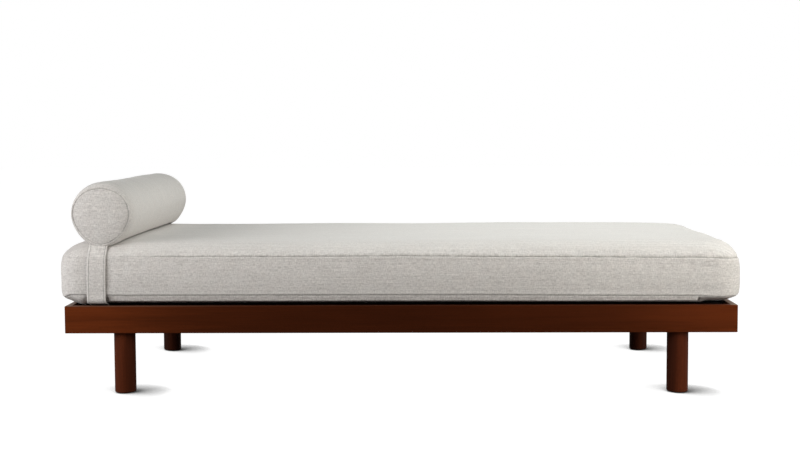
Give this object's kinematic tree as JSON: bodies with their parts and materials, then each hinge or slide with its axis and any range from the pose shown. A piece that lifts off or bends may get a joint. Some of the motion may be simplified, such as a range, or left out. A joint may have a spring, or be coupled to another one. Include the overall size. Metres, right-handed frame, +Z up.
{
  "type": "backless divan",
  "caption": "Low stained-wood frame on oval legs with a boxed linen mattress and a strapped bolster at one end.",
  "frame": {"origin": "on the floor under the middle of the frame", "axes": "+X along the length to the end away from the bolster, -Y to the front that the picture shows, +Z up"},
  "size_m": [2.03, 0.9166, 0.6388],
  "materials": {
    "stained_wood": "satin",
    "plain_wood": "matte",
    "deck_cloth": "matte",
    "glide": "matte",
    "steel": "satin",
    "brass": "satin",
    "linen": "matte",
    "filling": "matte",
    "zip_tape": "matte",
    "zip_metal": "satin",
    "webbing": "matte"
  },
  "bodies": {
    "frame": {"front_rail": "stained_wood", "back_rail": "stained_wood", "left_rail": "stained_wood", "right_rail": "stained_wood", "front_ledger": "plain_wood", "back_ledger": "plain_wood", "left_bearer": "plain_wood", "centre_bearer": "plain_wood", "right_bearer": "plain_wood", "deck_cloth": "deck_cloth", "corner_block_1": "plain_wood", "corner_block_2": "plain_wood", "corner_block_3": "plain_wood", "corner_block_4": "plain_wood", "slat_1": "plain_wood", "slat_2": "plain_wood", "slat_3": "plain_wood", "slat_4": "plain_wood", "slat_5": "plain_wood", "slat_6": "plain_wood", "slat_7": "plain_wood", "slat_8": "plain_wood", "slat_9": "plain_wood", "slat_10": "plain_wood", "slat_11": "plain_wood", "slat_12": "plain_wood", "slat_13": "plain_wood", "slat_14": "plain_wood", "slat_15": "plain_wood", "leg_front_left": "stained_wood", "leg_front_right": "stained_wood", "leg_back_left": "stained_wood", "leg_back_right": "stained_wood", "foot_glides": "glide", "hanger_bolts": "steel", "threaded_inserts": "brass", "ledger_screws": "steel", "slat_screws": "steel", "block_screws": "steel", "angle_brackets": "steel", "bracket_screws": "steel"},
    "mattress": {"mattress_cover": "linen", "mattress_core": "filling", "mattress_zip": "zip_tape", "zip_placket": "linen"},
    "bolster": {"bolster_cover": "linen", "bolster_core": "filling", "bolster_strap": "linen", "strap_webbing": "webbing"},
    "zip": {"zip_slider": "zip_metal", "zip_pull": "zip_metal"}
  },
  "joints": [
    {"name": "mattress_lift", "type": "slide", "parent": "frame", "child": "mattress", "axis": [0, 0, 1], "range_m": [0, 0.4]},
    {"name": "bolster_slide", "type": "slide", "parent": "mattress", "child": "bolster", "axis": [1, 0, 0], "range_m": [0, 1.75]},
    {"name": "zip_run", "type": "slide", "parent": "mattress", "child": "zip", "axis": [-1, 0, 0], "range_m": [0, 1.69]}
  ]
}
